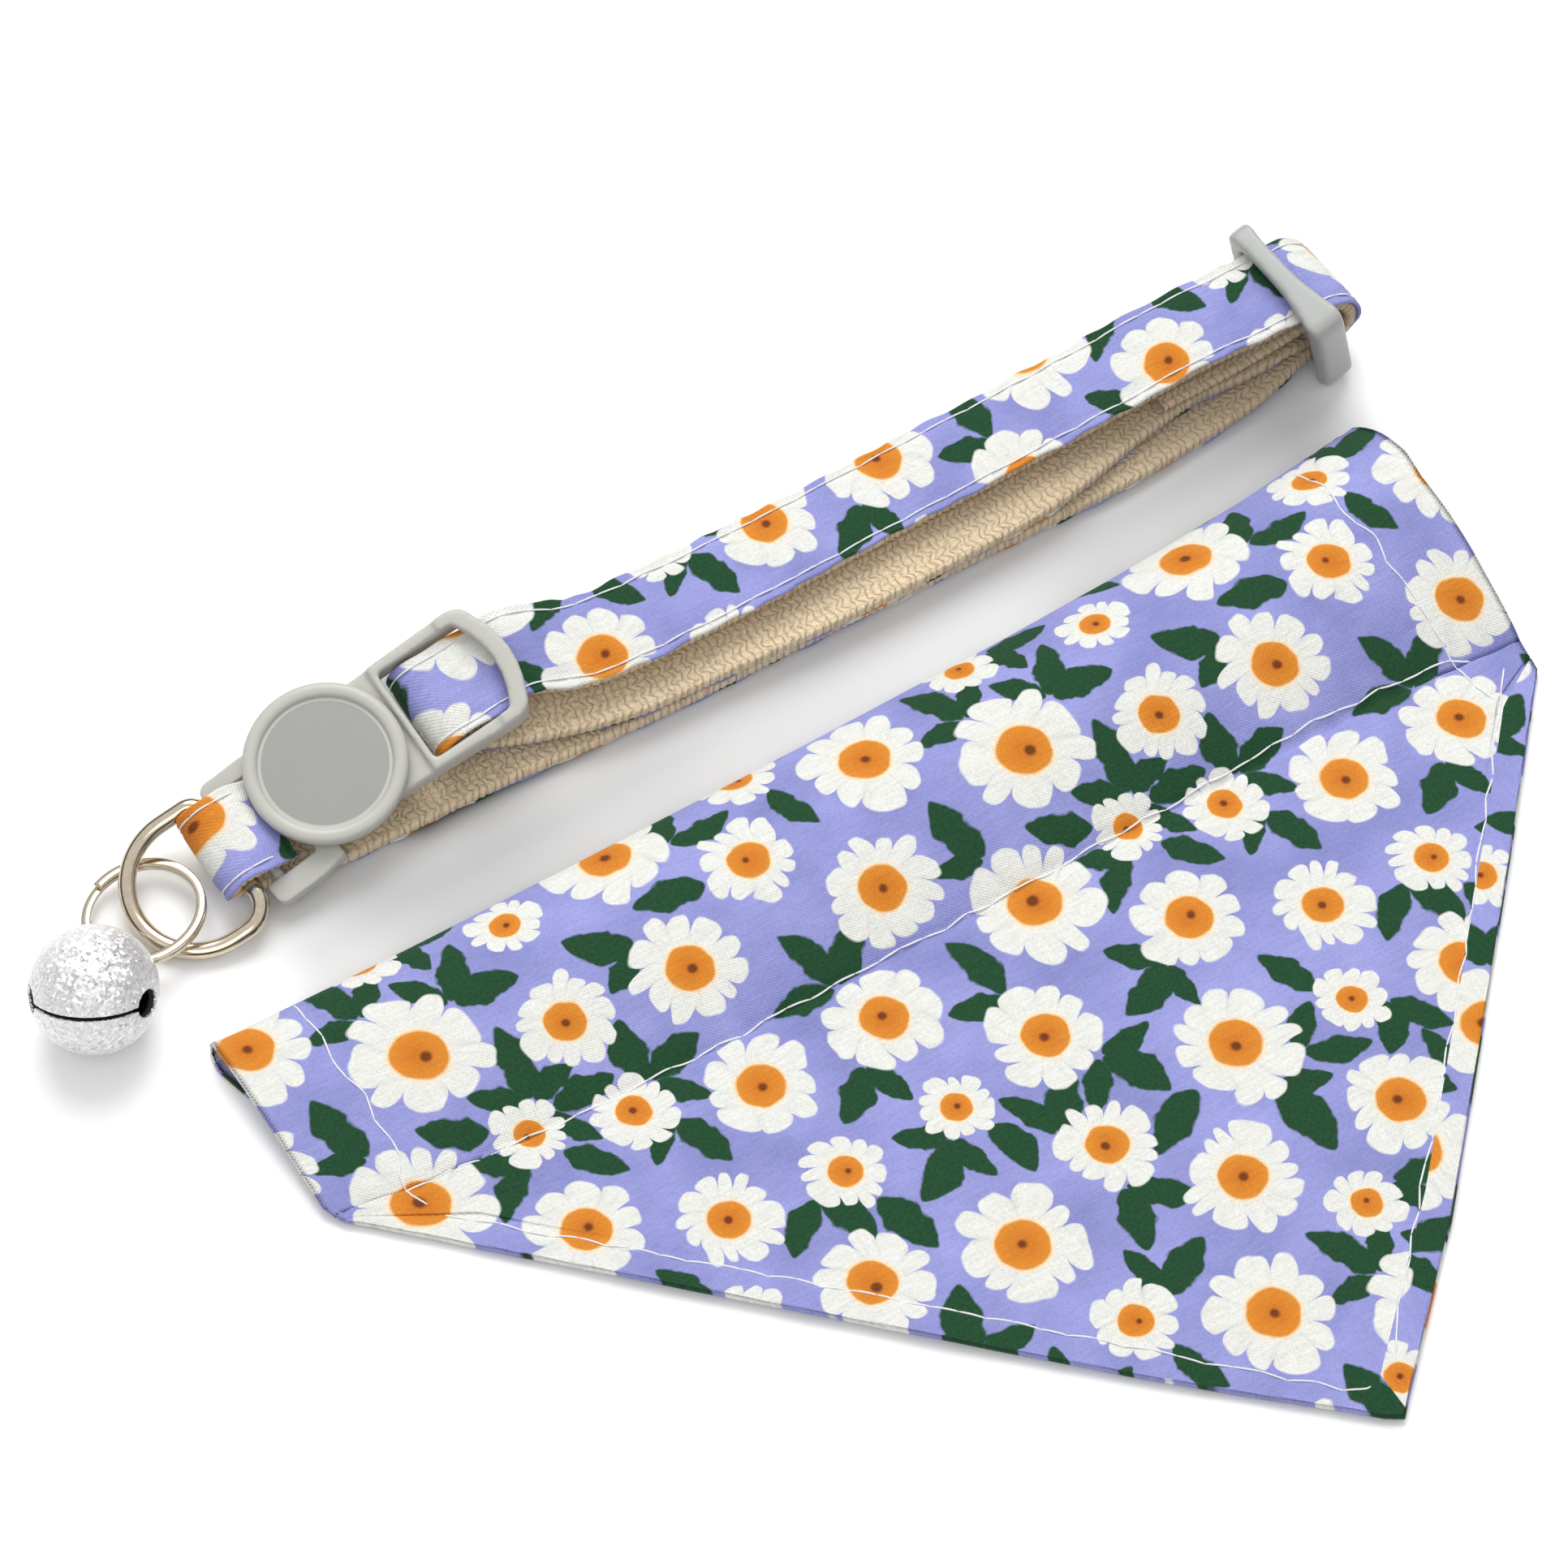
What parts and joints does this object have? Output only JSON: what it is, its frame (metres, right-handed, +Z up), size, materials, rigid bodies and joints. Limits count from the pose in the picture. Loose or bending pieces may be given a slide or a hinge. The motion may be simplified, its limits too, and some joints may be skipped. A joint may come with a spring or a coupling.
{
  "type": "pet bandana collar",
  "caption": "Adjustable pet collar with side-release buckle, slider, D ring and bell, lying flattened beside its slide-on triangular bandana with an open strap channel.",
  "frame": {"origin": "the centre of the whole footprint, on the surface that everything lies on", "axes": "+X along the collar and the bandana's channel, from the bell to the slider; +Y from the bandana's tip towards the collar; +Z up"},
  "size_m": [0.176, 0.134, 0.0159],
  "materials": {
    "print": "lilac cotton with a daisy and leaf print",
    "webbing": "coarse beige woven webbing",
    "plastic": "mid-grey moulded, softly matte",
    "nickel": "pale gold-toned nickel plating",
    "silver": "silver, roughened to a fine sparkle"
  },
  "bodies": {
    "root": {"buckle_window_half": "plastic", "buckle_tail_half": "plastic", "buckle_disc": "plastic", "slider": "plastic", "d_ring": "nickel", "strap_webbing": "webbing", "strap_cover": "print", "split_ring": "nickel", "bell": "silver", "bell_pellet": "silver", "bandana": "print"}
  },
  "joints": []
}
